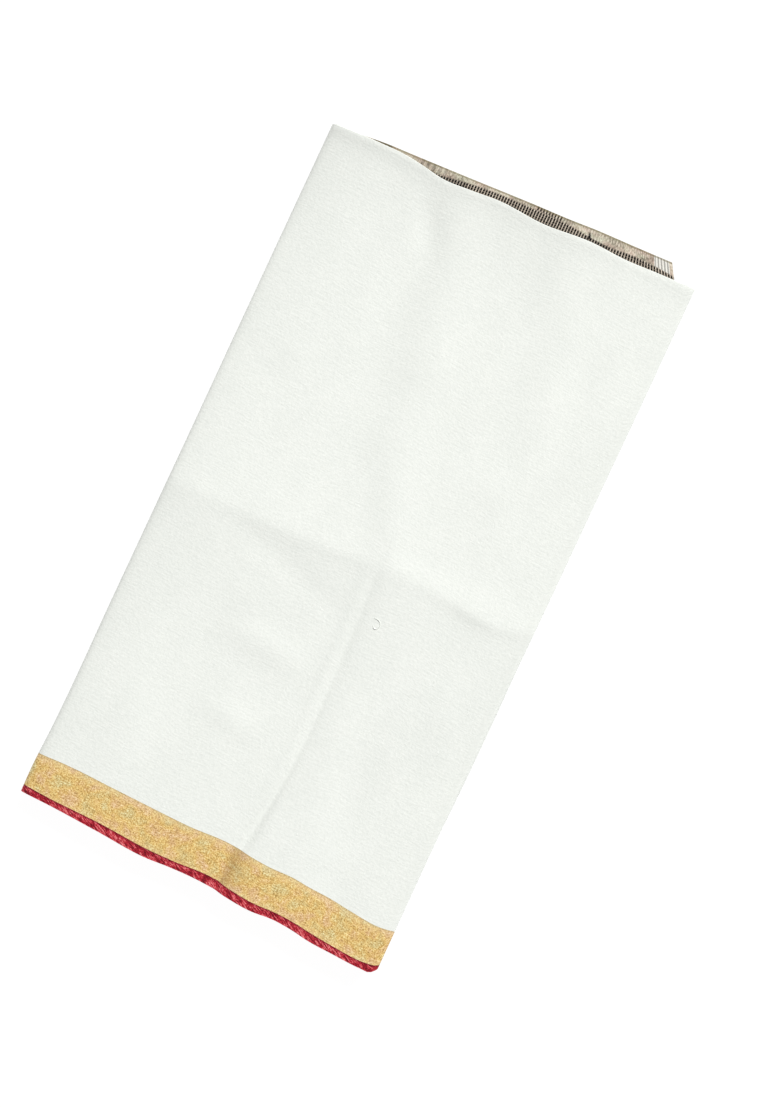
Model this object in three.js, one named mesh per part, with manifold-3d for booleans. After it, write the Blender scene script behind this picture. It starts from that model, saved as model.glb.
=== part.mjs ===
// A cotton saree folded flat, as it lies on a shop's counter.
//
// The saree is one length of cloth with a gold border and a red selvedge. It is doubled across its width, so
// that both selvedges lie together at one end of the packet and the fold lies at the other. Then it is folded
// in half and twice in thirds along its length, which lays eighteen doubled panels on each other. The
// outermost stretch of cloth goes round the packet: under it, up round the spine on its left, over the top
// and down round the open side on its right, where both of its ends tuck in between the two books of folds.
// The saree's two patterned ends lie inside the upper book and show past its folded end, a little askew.
//
// Millimetres, +Z up. The origin is on the table under the packet's middle, +Y runs from the selvedges to the
// folded end, and +X to the open side.
import * as THREE from "three";
import { mergeVertices } from "three/addons/utils/BufferGeometryUtils.js";
import Module from "manifold-3d";

const manifold = await Module();
manifold.setup();

const { lerp, clamp, smoothstep } = THREE.MathUtils;
const count = (n) => Array.from({ length: n }, (_, i) => i);

// ---------- the cloth ----------
const CUT_LENGTH = 5508;
const PANEL_COUNT = 18;
const PANEL_WIDTH = CUT_LENGTH / PANEL_COUNT;
const WALL = 1.0; // two plies of cotton, pressed
const SEAM = 0.3; // between neighbouring pieces
const PITCH = WALL + SEAM; // from one doubled panel to the next
const THICKNESS = WALL + (PANEL_COUNT - 1) * PITCH;
const LOFT = 1.3; // how far the top panel stands up between its creases

// ---------- the folding ----------
// Columns run from left to right, and each lists its panels from the bottom up.
function foldInHalf(columns) {
  const n = columns.length / 2;
  return count(n).map((i) => [...columns[i], ...columns[2 * n - 1 - i].toReversed()]);
}

// The left third comes in over the middle one, and the right third over both.
function foldInThirds(columns) {
  const n = columns.length / 3;
  return count(n).map((i) => [
    ...columns[n + i],
    ...columns[n - 1 - i].toReversed(),
    ...columns[3 * n - 1 - i].toReversed(),
  ]);
}

const unfolded = count(PANEL_COUNT).map((panel) => [panel]);
const [STACK] = foldInThirds(foldInThirds(foldInHalf(unfolded)));
const heightOf = (panel) => WALL / 2 + STACK.indexOf(panel) * PITCH;

const TOP_PANEL = STACK.at(-1);
const UNDER_PANEL = STACK[0];
const UPPER_STUB = TOP_PANEL + 1; // the panel that the top one turns down into
const LOWER_STUB = UNDER_PANEL - 1; // the panel that the under one turns up from
const PALLU_PANEL = 0;
const STRIPED_PANEL = PANEL_COUNT - 1;

// ---------- the packet's plan ----------
const RIGHT_SLACK = 1.1; // the open side lies this far inside the cut's length
const LEFT = -PANEL_WIDTH / 2;
const RIGHT = PANEL_WIDTH / 2 - RIGHT_SLACK;
const LOWER_BOOK_INSET = 2.5; // the lower book's folds lie inside the upper one's
const FREE_END_INSET = 20.5; // the patterned ends stop short of the fold round them
const TUCK = 26; // how far the outer stretch reaches in between the books

const turnRadius = (panel) => Math.abs(heightOf(panel + 1) - heightOf(panel)) / 2;
const SPINE_X = LEFT + WALL / 2 + turnRadius(UNDER_PANEL);
const UPPER_X = RIGHT - WALL / 2 - turnRadius(TOP_PANEL);
const LOWER_X = RIGHT - LOWER_BOOK_INSET - WALL / 2 - turnRadius(LOWER_STUB);
const BETWEEN_BOOKS = (heightOf(UPPER_STUB) + heightOf(LOWER_STUB)) / 2;
const TUCK_X = RIGHT - TUCK;
const FREE_END_X = RIGHT - FREE_END_INSET;

// The selvedge end on the top face: the cloth's edge, and where its red and its gold end.
const SELVEDGE_END = [
  { across: -153, edge: -281.7, red: -276.0, gold: -249.6 },
  { across: -132, edge: -281.8, red: -276.9, gold: -248.3 },
  { across: -88, edge: -284.2, red: -277.8, gold: -249.2 },
  { across: -44, edge: -287.0, red: -280.5, gold: -250.6 },
  { across: -26, edge: -285.8, red: -280.3, gold: -251.0 },
  { across: 10, edge: -286.3, red: -279.2, gold: -249.9 },
  { across: 24, edge: -288.2, red: -281.5, gold: -251.5 },
  { across: 45, edge: -289.8, red: -283.4, gold: -253.1 },
  { across: 64, edge: -288.4, red: -282.8, gold: -252.8 },
  { across: 78, edge: -289.3, red: -283.5, gold: -254.2 },
  { across: 96, edge: -292.0, red: -285.8, gold: -255.2 },
  { across: 116, edge: -293.1, red: -287.7, gold: -257.6 },
  { across: 140, edge: -294.1, red: -288.6, gold: -259.2 },
  { across: 147, edge: -293.7, red: -287.6, gold: -258.3 },
  { across: 150, edge: -291.2, red: -286.6, gold: -257.6 },
  { across: 153, edge: -285.5, red: -283.0, gold: -257.3 },
];

// The same lines on the underside.
const UNDER_SELVEDGE_END = [
  { across: -153, edge: -282.5, red: -277.0, gold: -248.6 },
  { across: -60, edge: -284.6, red: -278.6, gold: -249.6 },
  { across: 40, edge: -286.6, red: -280.5, gold: -251.6 },
  { across: 142, edge: -290.5, red: -284.5, gold: -255.5 },
  { across: 150, edge: -287.5, red: -282.5, gold: -255.0 },
  { across: 153, edge: -284.0, red: -279.5, gold: -254.6 },
];

// The folded end on the top face and on the underside: the outer cloth's edge, and the line that the layers
// inside stop short of.
const FOLDED_END = [
  { across: -153, edge: 281.4, inner: 287.6 },
  { across: -128, edge: 281.6, inner: 288.0 },
  { across: -115, edge: 284.2, inner: 287.0 },
  { across: -88, edge: 284.9, inner: 284.9 },
  { across: -76, edge: 283.3, inner: 283.3 },
  { across: -59, edge: 280.5, inner: 280.5 },
  { across: -35, edge: 281.4, inner: 281.4 },
  { across: -12, edge: 283.4, inner: 283.4 },
  { across: 27, edge: 281.7, inner: 281.7 },
  { across: 66, edge: 284.8, inner: 284.8 },
  { across: 96, edge: 283.9, inner: 283.9 },
  { across: 120, edge: 285.0, inner: 285.0 },
  { across: 153, edge: 286.2, inner: 286.2 },
];
const UNDER_FOLDED_END = [
  { across: -153, edge: 284.0, inner: 284.0 },
  { across: 0, edge: 283.0, inner: 283.0 },
  { across: 153, edge: 284.8, inner: 284.8 },
];

// The patterned ends past the folded end: the pallu lies under the striped end and reaches further.
const PATTERNED_ENDS = [
  { across: -153, pallu: 285.4, striped: 279.0 },
  { across: -90, pallu: 288.6, striped: 281.0 },
  { across: -64, pallu: 289.8, striped: 282.6 },
  { across: -30, pallu: 291.4, striped: 287.2 },
  { across: -10, pallu: 292.5, striped: 288.8 },
  { across: 10, pallu: 293.3, striped: 289.4 },
  { across: 50, pallu: 294.6, striped: 289.4 },
  { across: 60, pallu: 295.3, striped: 288.4 },
  { across: 83, pallu: 296.4, striped: 288.0 },
  { across: 94, pallu: 296.7, striped: 289.3 },
  { across: 116, pallu: 297.4, striped: 289.4 },
  { across: 132, pallu: 298.0, striped: 288.2 },
  { across: 153, pallu: 298.4, striped: 287.0 },
];

// How far the spine, the upper book's folds and the lower book's stand out past their straight lines.
const SIDES = [
  { along: -300, spine: 0.4, upper: 0.7, lower: 0.9 },
  { along: -258, spine: 1.1, upper: 0.5, lower: 1.5 },
  { along: -230, spine: 0.1, upper: 0.3, lower: 2.1 },
  { along: -110, spine: 0.0, upper: 0.0, lower: 4.3 },
  { along: 20, spine: 0.0, upper: 1.1, lower: 3.1 },
  { along: 120, spine: 0.3, upper: 1.3, lower: 1.7 },
  { along: 190, spine: 0.4, upper: 1.6, lower: 1.3 },
  { along: 300, spine: 0.3, upper: 1.2, lower: 0.9 },
];

// The creases that were pressed in when the packet was folded again: one across it, and one down its lower
// half.
const CROSS_CREASE = [
  { across: -153, along: -16 },
  { across: -30, along: -18.5 },
  { across: 22, along: -14.5 },
  { across: 45, along: -13 },
  { across: 90, along: -17 },
  { across: 120, along: -19.5 },
  { across: 153, along: -12 },
];
const LENGTH_CREASE = [
  { along: -300, across: 12.5 },
  { along: -280, across: 13.5 },
  { along: -257, across: 16.5 },
  { along: -238, across: 20.5 },
  { along: -196, across: 25.5 },
  { along: -158, across: 28.5 },
  { along: -110, across: 28 },
  { along: -60, across: 26.5 },
  { along: -14, across: 24 },
  { along: 10, across: 23 },
];
const CREASE_HALF_WIDTH = 6.5;
const EDGE_FALL = 34; // over this width the top panel comes down to its folded sides

// A smooth curve through a column of a table, over another column.
function tableLine(rows, at, value) {
  return (t) => {
    const i = clamp(rows.findLastIndex((row) => row[at] <= t), 0, rows.length - 2);
    const [a, b] = [rows[i], rows[i + 1]];
    return lerp(a[value], b[value], smoothstep(t, a[at], b[at]));
  };
}

// A line of the packet's ends, which runs from its course on the underside to its course on the top face.
function endLine(topRows, underRows, value) {
  const top = tableLine(topRows, "across", value);
  const under = tableLine(underRows, "across", value);
  return ({ x, z }) => lerp(under(x), top(x), z / THICKNESS);
}

const clothEdge = endLine(SELVEDGE_END, UNDER_SELVEDGE_END, "edge");
const redEnd = endLine(SELVEDGE_END, UNDER_SELVEDGE_END, "red");
const goldEnd = endLine(SELVEDGE_END, UNDER_SELVEDGE_END, "gold");
const foldedEdge = endLine(FOLDED_END, UNDER_FOLDED_END, "edge");
const innerFold = endLine(FOLDED_END, UNDER_FOLDED_END, "inner");
const palluEdge = tableLine(PATTERNED_ENDS, "across", "pallu");
const stripedEdge = tableLine(PATTERNED_ENDS, "across", "striped");
const spineBulge = tableLine(SIDES, "along", "spine");
const upperBulge = tableLine(SIDES, "along", "upper");
const lowerBulge = tableLine(SIDES, "along", "lower");
const crossCrease = tableLine(CROSS_CREASE, "across", "along");
const lengthCrease = tableLine(LENGTH_CREASE, "along", "across");

// The sides wander a little along the packet, and its inside doesn't.
function wander({ x, z }, y) {
  const toSpine = smoothstep(-x, -SPINE_X - EDGE_FALL, -SPINE_X);
  const toOpenSide = smoothstep(x, UPPER_X - EDGE_FALL, UPPER_X);
  const bulge = z > BETWEEN_BOOKS ? upperBulge(y) : lowerBulge(y);
  return x - spineBulge(y) * toSpine + bulge * toOpenSide;
}

const valley = (distance) => Math.exp(-((distance / CREASE_HALF_WIDTH) ** 2));

// How far the top panel stands above its creases at a place. The lower half's crease ends at the one across.
function loftAt(x, y) {
  const fromCross = y - crossCrease(x);
  const inLowerHalf = 1 - smoothstep(fromCross, -CREASE_HALF_WIDTH, CREASE_HALF_WIDTH);
  const across = 1 - valley(fromCross);
  const down = 1 - valley(x - lengthCrease(y)) * inLowerHalf;
  const fromSpine = smoothstep(x, SPINE_X, SPINE_X + EDGE_FALL);
  const fromOpenSide = 1 - smoothstep(x, UPPER_X - EDGE_FALL, UPPER_X);
  return LOFT * across * down * fromSpine * fromOpenSide;
}

// Moves points that lie round a crease's middle, so that rows and columns of points follow the crease.
const FOLLOW_WIDTH = 40;
const nearness = (distance) => Math.exp(-((distance / FOLLOW_WIDTH) ** 2));
const follow = (at, crease, middle) => at + (crease - middle) * nearness(at - middle);

// ---------- the courses of the cloth in the X-Z section ----------
const MM_PER_ARC_STEP = 1.9;
const MM_PER_PANEL_STEP = 62;
const MM_PER_PATTERNED_STEP = 12;

// The middle of the turn that follows a panel: even panels turn at the spine, and odd ones at the open side.
function turnX(panel) {
  if (panel % 2 === 0) return SPINE_X;
  return (heightOf(panel) + heightOf(panel + 1)) / 2 > BETWEEN_BOOKS ? UPPER_X : LOWER_X;
}

// The turn that follows a panel, or a line that lies further out round it.
function turnLine(panel, outset = 0) {
  const [from, to] = [heightOf(panel), heightOf(panel + 1)];
  const radius = turnRadius(panel);
  const steps = Math.max(6, Math.round((Math.PI * radius) / MM_PER_ARC_STEP));
  const outward = panel % 2 === 0 ? -1 : 1;
  return count(steps + 1).map((i) => {
    const angle = (Math.PI * i) / steps;
    return {
      x: turnX(panel) + outward * (radius + outset) * Math.sin(angle),
      z: (from + to) / 2 - Math.sign(to - from) * (radius + outset) * Math.cos(angle),
    };
  });
}

const panelLine = (panel, stations) => stations.map((x) => ({ x, z: heightOf(panel) }));

function evenStations(from, to, mmPerStep = MM_PER_PANEL_STEP) {
  const steps = Math.max(1, Math.round(Math.abs(to - from) / mmPerStep));
  return count(steps + 1).map((i) => lerp(from, to, i / steps));
}

// Lines end to end as one, without the doubled points where they meet.
const samePlace = (a, b) => Math.hypot(a.x - b.x, a.z - b.z) < 0.01;
const joined = (...lines) => lines.flat().filter((point, i, all) => i === 0 || !samePlace(point, all[i - 1]));

// The cloth from one panel to a later one, with the x where its course starts and ends.
function course(firstPanel, startX, lastPanel, endX) {
  const panels = count(lastPanel - firstPanel + 1).map((i) => firstPanel + i);
  const lines = panels.map((panel) => {
    const from = panel === firstPanel ? startX : turnX(panel - 1);
    const to = panel === lastPanel ? endX : turnX(panel);
    const turn = panel === lastPanel ? [] : turnLine(panel);
    return [...panelLine(panel, evenStations(from, to)), ...turn];
  });
  return joined(...lines);
}

// ---------- solids ----------
// The unit normal to the left of a line's direction, at each of its points.
function withNormals(line) {
  return line.map((point, i) => {
    const before = line[Math.max(0, i - 1)];
    const after = line[Math.min(line.length - 1, i + 1)];
    const length = Math.hypot(after.x - before.x, after.z - before.z);
    return { ...point, nx: (before.z - after.z) / length, nz: (after.x - before.x) / length };
  });
}

function gridFaces(rows, columns, firstIndex, inward) {
  return count((rows - 1) * (columns - 1)).flatMap((cell) => {
    const a = firstIndex + Math.floor(cell / (columns - 1)) * columns + (cell % (columns - 1));
    const corners = [a, a + 1, a + columns + 1, a + columns];
    const [p, q, r, s] = inward ? corners.toReversed() : corners;
    return [p, q, r, p, r, s];
  });
}

// The strip that joins the border of a wall's outer face to the same border of its inner face.
function rimFaces(rows, columns) {
  const border = [
    ...count(columns - 1),
    ...count(rows - 1).map((row) => row * columns + columns - 1),
    ...count(columns - 1).map((column) => rows * columns - 1 - column),
    ...count(rows - 1).map((row) => (rows - 1 - row) * columns),
  ];
  return border.flatMap((a, i) => {
    const b = border[(i + 1) % border.length];
    return [b, a, a + rows * columns, b, a + rows * columns, b + rows * columns];
  });
}

// A closed wall of cloth along a line. `ends` gives the y of its two ends at a point of the line, `rowShares`
// the shares of the way between them that have points, and `place` the finished place of a point of its
// middle.
function clothWall(line, rowShares, ends, place) {
  const columns = withNormals(line);
  const face = (side) =>
    rowShares.flatMap((share) =>
      columns.flatMap((point) => {
        const middle = place(point, lerp(...ends(point), share));
        return [middle.x + (side * point.nx * WALL) / 2, middle.y, middle.z + (side * point.nz * WALL) / 2];
      }),
    );
  const facePoints = rowShares.length * columns.length;
  const geometry = new THREE.BufferGeometry();
  geometry.setAttribute("position", new THREE.Float32BufferAttribute([...face(1), ...face(-1)], 3));
  return geometry.setIndex([
    ...gridFaces(rowShares.length, columns.length, 0, false),
    ...gridFaces(rowShares.length, columns.length, facePoints, true),
    ...rimFaces(rowShares.length, columns.length),
  ]);
}

// A block with the given X-Z outline, from one y to another.
function block(outline, fromY, toY) {
  const shape = new THREE.Shape(outline.map(({ x, z }) => new THREE.Vector2(x, z)));
  const geometry = new THREE.ExtrudeGeometry(shape, { depth: toY - fromY, bevelEnabled: false });
  return geometry.rotateX(Math.PI / 2).translate(0, toY, 0);
}

function toSolid(geometry) {
  const bare = new THREE.BufferGeometry().setAttribute("position", geometry.getAttribute("position"));
  const merged = mergeVertices(bare.setIndex(geometry.index), 1e-3);
  const mesh = new manifold.Mesh({
    numProp: 3,
    vertProperties: merged.getAttribute("position").array,
    triVerts: new Uint32Array(merged.index.array),
  });
  return new manifold.Manifold(mesh);
}

function toGeometry(solid) {
  const { vertProperties, triVerts } = solid.getMesh();
  const geometry = new THREE.BufferGeometry();
  geometry.setAttribute("position", new THREE.Float32BufferAttribute([...vertProperties], 3));
  return geometry.setIndex([...triVerts]);
}

// ---------- materials ----------
const cloth = (color, roughness) => new THREE.MeshStandardMaterial({ color, roughness, metalness: 0 });
const bodyCotton = cloth("#eef0ea", 0.92);
const borderGold = cloth("#dcb873", 0.7);
const selvedgeRed = cloth("#b4213f", 0.75);
const palluTussar = cloth("#b49b7e", 0.9);
const stripedBlack = cloth("#5e5045", 0.9);

const saree = new THREE.Group();

function addPiece(name, geometry, material) {
  const mesh = new THREE.Mesh(geometry, material);
  mesh.name = name;
  saree.add(mesh);
}

// ---------- the outer stretch of cloth ----------
// Each part of it is one wall for the plain cloth, one for the gold border and one for the red selvedge.
const DENSE_ROWS = [0, 0.1, 0.2, 0.3, 0.37, 0.405, 0.42, 0.432, 0.444, 0.459, 0.494, 0.57, 0.68, 0.79, 0.9, 1];
const PLAIN_ROWS = [0, 0.14, 0.29, 0.43, 0.57, 0.71, 0.86, 1];
const BAND_ROWS = [0, 1];

const inSides = (point, y) => ({ x: wander(point, y), y, z: point.z });

function addStretch(name, line, bodyRows, place = inSides) {
  const shortened = (from, to) => (point) => [from(point) + SEAM / 2, to(point) - SEAM / 2];
  const body = clothWall(line, bodyRows, shortened(goldEnd, foldedEdge), place);
  const border = clothWall(line, BAND_ROWS, shortened(redEnd, goldEnd), place);
  const selvedge = clothWall(line, BAND_ROWS, shortened(clothEdge, redEnd), place);
  addPiece(`${name}_body`, body, bodyCotton);
  addPiece(`${name}_border`, border, borderGold);
  addPiece(`${name}_selvedge`, selvedge, selvedgeRed);
}

// The top panel stands up between its creases, and its rows and columns of points follow them.
function onTop(point, y) {
  if (point.z < heightOf(TOP_PANEL) - PITCH / 4) return inSides(point, y);
  const x = follow(point.x, lengthCrease(y), lengthCrease(0));
  const placedY = follow(y, crossCrease(x), crossCrease(0));
  return { x: wander({ x, z: point.z }, placedY), y: placedY, z: point.z + loftAt(x, placedY) };
}

const TOP_STATIONS = [
  SPINE_X + SEAM,
  ...[-132, -121, -110, -96, -82, -67, -52, -37, -22, -8, 4, 13, 19],
  ...[25.5, 32, 38, 47, 58, 70, 82, 94, 106, 118, 129, 140],
  UPPER_X,
];
const topLine = joined(panelLine(TOP_PANEL, TOP_STATIONS), course(TOP_PANEL, UPPER_X, UPPER_STUB, TUCK_X));
addStretch("top_panel", topLine, DENSE_ROWS, onTop);
addStretch("spine_fold", turnLine(UNDER_PANEL), PLAIN_ROWS);
addStretch("under_panel", course(LOWER_STUB, TUCK_X, UNDER_PANEL, SPINE_X + SEAM), PLAIN_ROWS);

// ---------- the hidden layers ----------
// All layers inside the outer stretch share one block with rounded sides. The layers come apart at both of
// its ends, where each is a lip that follows its own folds, and a pocket at the folded end holds the two
// patterned ends.
const BLOCK_FROM = -266;
const BLOCK_TO = 270;
const BLOCK_INSET = 0.12; // the block lies just inside the lips' outer faces
const LIP_ROOT = 1; // how far a lip starts inside the block
const POCKET_DEPTH = 28;

// Each layer stops short of the packet's end lines, by an amount of its own.
const MEAN_SHORTFALL = 2.6;
const slowWaver = ({ x, z }) => 0.9 * Math.sin(z * 1.2 + x * 0.012);
const quickWaver = ({ x, z }) => 0.5 * Math.sin(z * 2.3 - x * 0.02);
const shortfall = (point) => MEAN_SHORTFALL + slowWaver(point) + quickWaver(point);
const hiddenEdge = (point) => clothEdge(point) + shortfall(point);
const hiddenRed = (point) => redEnd(point) + shortfall(point);
const hiddenFold = (point) => innerFold(point) - shortfall(point);
const unmoved = ({ x, z }, y) => ({ x, y, z });

// The two stretches of hidden cloth: from the pallu to the lower tuck, and from the upper tuck to the striped
// end.
const hiddenCourses = (freeEndX) => [
  { name: "pallu_side", line: course(PALLU_PANEL, freeEndX, LOWER_STUB, TUCK_X - SEAM) },
  { name: "striped_side", line: course(UPPER_STUB, TUCK_X - SEAM, STRIPED_PANEL, freeEndX) },
];

const innerTop = STACK.at(-2);
const innerUnder = STACK[1];
const blockOutset = WALL / 2 - BLOCK_INSET;
const lowerTurn = turnLine(innerUnder, blockOutset);
const upperTurn = turnLine(innerTop - 1, blockOutset);
const betweenBooks = [lowerTurn.at(-1), upperTurn[0]].map(({ z }) => ({ x: TUCK_X - SEAM, z }));
const blockOutline = [...turnLine(innerTop, blockOutset), ...lowerTurn, ...betweenBooks, ...upperTurn];

const pocketHeight = 2 * PITCH + SEAM;
const pocketWidth = FREE_END_X + SEAM - SPINE_X;
const pocket = new THREE.BoxGeometry(pocketWidth, 2 * POCKET_DEPTH, pocketHeight);
pocket.translate(
  SPINE_X + pocketWidth / 2,
  BLOCK_TO,
  (heightOf(PALLU_PANEL) + heightOf(STRIPED_PANEL)) / 2,
);

let hidden = toSolid(block(blockOutline, BLOCK_FROM, BLOCK_TO)).subtract(toSolid(pocket));
for (const { name, line } of hiddenCourses(FREE_END_X)) {
  const lipEnds = (point) => [hiddenRed(point) + SEAM, BLOCK_FROM + LIP_ROOT];
  const lip = clothWall(line, BAND_ROWS, lipEnds, unmoved);
  const red = clothWall(line, BAND_ROWS, (point) => [hiddenEdge(point), hiddenRed(point)], unmoved);
  hidden = hidden.add(toSolid(lip));
  addPiece(`${name}_selvedge`, red, selvedgeRed);
}
for (const { line } of hiddenCourses(SPINE_X)) {
  const lip = clothWall(line, BAND_ROWS, (point) => [BLOCK_TO - LIP_ROOT, hiddenFold(point)], unmoved);
  hidden = hidden.add(toSolid(lip));
}
addPiece("hidden_layers", toGeometry(hidden), bodyCotton);

// ---------- the patterned ends ----------
function addPatternedEnd(name, panel, edge, material) {
  const line = panelLine(panel, evenStations(SPINE_X + SEAM, FREE_END_X, MM_PER_PATTERNED_STEP));
  const ends = ({ x }) => [BLOCK_TO - POCKET_DEPTH + SEAM, edge(x)];
  addPiece(name, clothWall(line, BAND_ROWS, ends, unmoved), material);
}
addPatternedEnd("pallu_end", PALLU_PANEL, palluEdge, palluTussar);
addPatternedEnd("striped_end", STRIPED_PANEL, stripedEdge, stripedBlack);

export default saree;
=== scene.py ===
# A cotton saree folded flat into a long packet, lying on a pale table and looked at from straight above.
#
# The cloth is doubled across its width, with both selvedges at one end of the packet and the fold at the
# other. Then it is folded in half and twice in thirds, which lays eighteen doubled panels on each other.
# Lengths here are in millimetres until a mesh is made, and +Y runs from the selvedges to the folded end, as
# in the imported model.
import math

import bpy
import numpy as np
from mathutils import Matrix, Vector


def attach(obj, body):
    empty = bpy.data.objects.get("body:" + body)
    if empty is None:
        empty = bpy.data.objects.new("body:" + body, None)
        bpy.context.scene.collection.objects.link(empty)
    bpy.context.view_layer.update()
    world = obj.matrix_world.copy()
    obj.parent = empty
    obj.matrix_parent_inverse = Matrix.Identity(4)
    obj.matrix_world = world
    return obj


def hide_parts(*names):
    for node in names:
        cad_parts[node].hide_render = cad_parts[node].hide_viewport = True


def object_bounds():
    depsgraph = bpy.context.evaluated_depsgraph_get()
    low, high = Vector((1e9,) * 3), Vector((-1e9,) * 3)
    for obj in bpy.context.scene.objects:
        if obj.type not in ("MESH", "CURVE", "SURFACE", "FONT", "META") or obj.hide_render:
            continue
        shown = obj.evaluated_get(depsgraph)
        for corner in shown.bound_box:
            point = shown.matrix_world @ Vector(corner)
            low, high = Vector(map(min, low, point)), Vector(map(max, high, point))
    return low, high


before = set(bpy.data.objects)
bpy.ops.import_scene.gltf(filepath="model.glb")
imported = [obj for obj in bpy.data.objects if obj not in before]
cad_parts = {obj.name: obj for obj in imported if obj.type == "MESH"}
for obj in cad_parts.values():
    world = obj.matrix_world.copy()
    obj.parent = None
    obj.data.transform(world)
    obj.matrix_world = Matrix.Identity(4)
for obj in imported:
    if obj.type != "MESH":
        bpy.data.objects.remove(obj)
cad_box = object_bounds()

# ---------- camera ----------
# The packet is seen from straight above. Its long side leans 25 degrees to the right of the view's upright.
VIEW_WIDTH, VIEW_HEIGHT = 780, 1108
MM_PER_PIXEL = 0.767
ORIGIN_PIXEL = (356.75, 543.0)
LEAN = math.radians(25)
LENS, SENSOR = 100, 36
MM = 0.001

top_of_packet = cad_box[1][2]
view_right = Vector((math.cos(LEAN), math.sin(LEAN), 0))
view_up = Vector((-math.sin(LEAN), math.cos(LEAN), 0))
to_middle = (
    view_right * (VIEW_WIDTH / 2 - ORIGIN_PIXEL[0])
    - view_up * (VIEW_HEIGHT / 2 - ORIGIN_PIXEL[1])
) * MM_PER_PIXEL * MM
camera_height = LENS / SENSOR * VIEW_HEIGHT * MM_PER_PIXEL * MM

camera_data = bpy.data.cameras.new("camera")
camera_data.lens = LENS
camera_data.sensor_width = SENSOR
camera = bpy.data.objects.new("camera", camera_data)
camera.location = to_middle + Vector((0, 0, top_of_packet + camera_height))
camera.rotation_euler = (0, 0, LEAN)
bpy.context.collection.objects.link(camera)
bpy.context.scene.camera = camera
bpy.context.scene.view_settings.view_transform = "Standard"


# ---------- table and light ----------
# A light table of milky glass, so that the packet throws hardly a shadow on it. A large soft lamp stands
# past the folded end, to the right, and the room gives the rest of the light. Sizes are in metres and watts.
def linear(colour):
    """The linear values of an sRGB hex colour."""
    parts = [int(colour[i : i + 2], 16) / 255 for i in (1, 3, 5)]
    return [*(c / 12.92 if c <= 0.04045 else ((c + 0.055) / 1.055) ** 2.4 for c in parts), 1]


def add_node(tree, kind, inputs=None, stops=(), **settings):
    """A new node with its settings, its inputs set to values or linked to other nodes' outputs, and the
    stops of its colour ramp, each a position and a colour."""
    made = tree.nodes.new(kind)
    for name, value in settings.items():
        setattr(made, name, value)
    for name, value in (inputs or {}).items():
        if isinstance(value, bpy.types.NodeSocket):
            tree.links.new(value, made.inputs[name])
        else:
            made.inputs[name].default_value = value
    for i, (position, colour) in enumerate(stops):
        stop = made.color_ramp.elements[i] if i < 2 else made.color_ramp.elements.new(position)
        stop.position = position
        stop.color = linear(colour)
    return made


TABLE_SIZE = 14
milky_glass = bpy.data.materials.new("lit_milky_glass")
milky_glass.use_nodes = True
for socket, value in (
    ("Base Color", linear("#595959")),
    ("Roughness", 0.9),
    ("Specular IOR Level", 0.2),
    ("Emission Color", linear("#ffffff")),
    ("Emission Strength", 0.96),
):
    milky_glass.node_tree.nodes["Principled BSDF"].inputs[socket].default_value = value

bpy.ops.mesh.primitive_plane_add(size=TABLE_SIZE, location=(0, 0, 0))
table_top = bpy.context.object
table_top.name = "table_top"
table_top.data.materials.append(milky_glass)

LAMP_SIZE = 10.4
LAMP_AWAY = 24.0
LAMP_DOWN, LAMP_TURN = math.radians(45), math.radians(79)
LAMP_POWER = 6260
ROOM_LIGHT = 0.36
lamp_from = LAMP_AWAY * Vector((
    math.sin(LAMP_DOWN) * math.cos(LAMP_TURN),
    math.sin(LAMP_DOWN) * math.sin(LAMP_TURN),
    math.cos(LAMP_DOWN),
))
lamp_data = bpy.data.lights.new("soft_lamp", "AREA")
lamp_data.size = LAMP_SIZE
lamp_data.energy = LAMP_POWER
lamp = bpy.data.objects.new("soft_lamp", lamp_data)
lamp.location = lamp_from
lamp.rotation_euler = (-lamp_from).to_track_quat("-Z", "Y").to_euler()
bpy.context.collection.objects.link(lamp)

room = bpy.data.worlds.new("pale_room")
room.use_nodes = True
room.node_tree.nodes["Background"].inputs["Color"].default_value = linear("#ffffff")
room.node_tree.nodes["Background"].inputs["Strength"].default_value = ROOM_LIGHT
bpy.context.scene.world = room

# ---------- the outer stretch of cloth ----------
# One length of white handloom cotton goes round the packet: from its tuck between the two books of folds,
# round the lower book and under the packet, up round the spine, over the top and round the upper book to its
# other tuck. Its gold tissue border and red selvedge are woven in one with it. It is pressed flat, with
# creases where the packet was once folded again.
WALL = 1.0
GAP = 0.3
PITCH = WALL + GAP
PANELS_FROM_BELOW = (4, 13, 16, 1, 10, 7, 8, 9, 2, 15, 14, 3, 6, 11, 0, 17, 12, 5)
PANEL_COUNT = len(PANELS_FROM_BELOW)
UNDER_PANEL, TOP_PANEL = PANELS_FROM_BELOW[0], PANELS_FROM_BELOW[-1]
LOWER_STUB, UPPER_STUB = UNDER_PANEL - 1, TOP_PANEL + 1
PALLU_PANEL, STRIPED_PANEL = 0, PANEL_COUNT - 1
THICKNESS = WALL + (PANEL_COUNT - 1) * PITCH

LEFT, RIGHT = -153.0, 151.9
LOWER_BOOK_INSET, TUCK_INSET, FREE_END_INSET = 2.5, 26, 20.5
TUCK_X = RIGHT - TUCK_INSET
FREE_END_X = RIGHT - FREE_END_INSET

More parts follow.
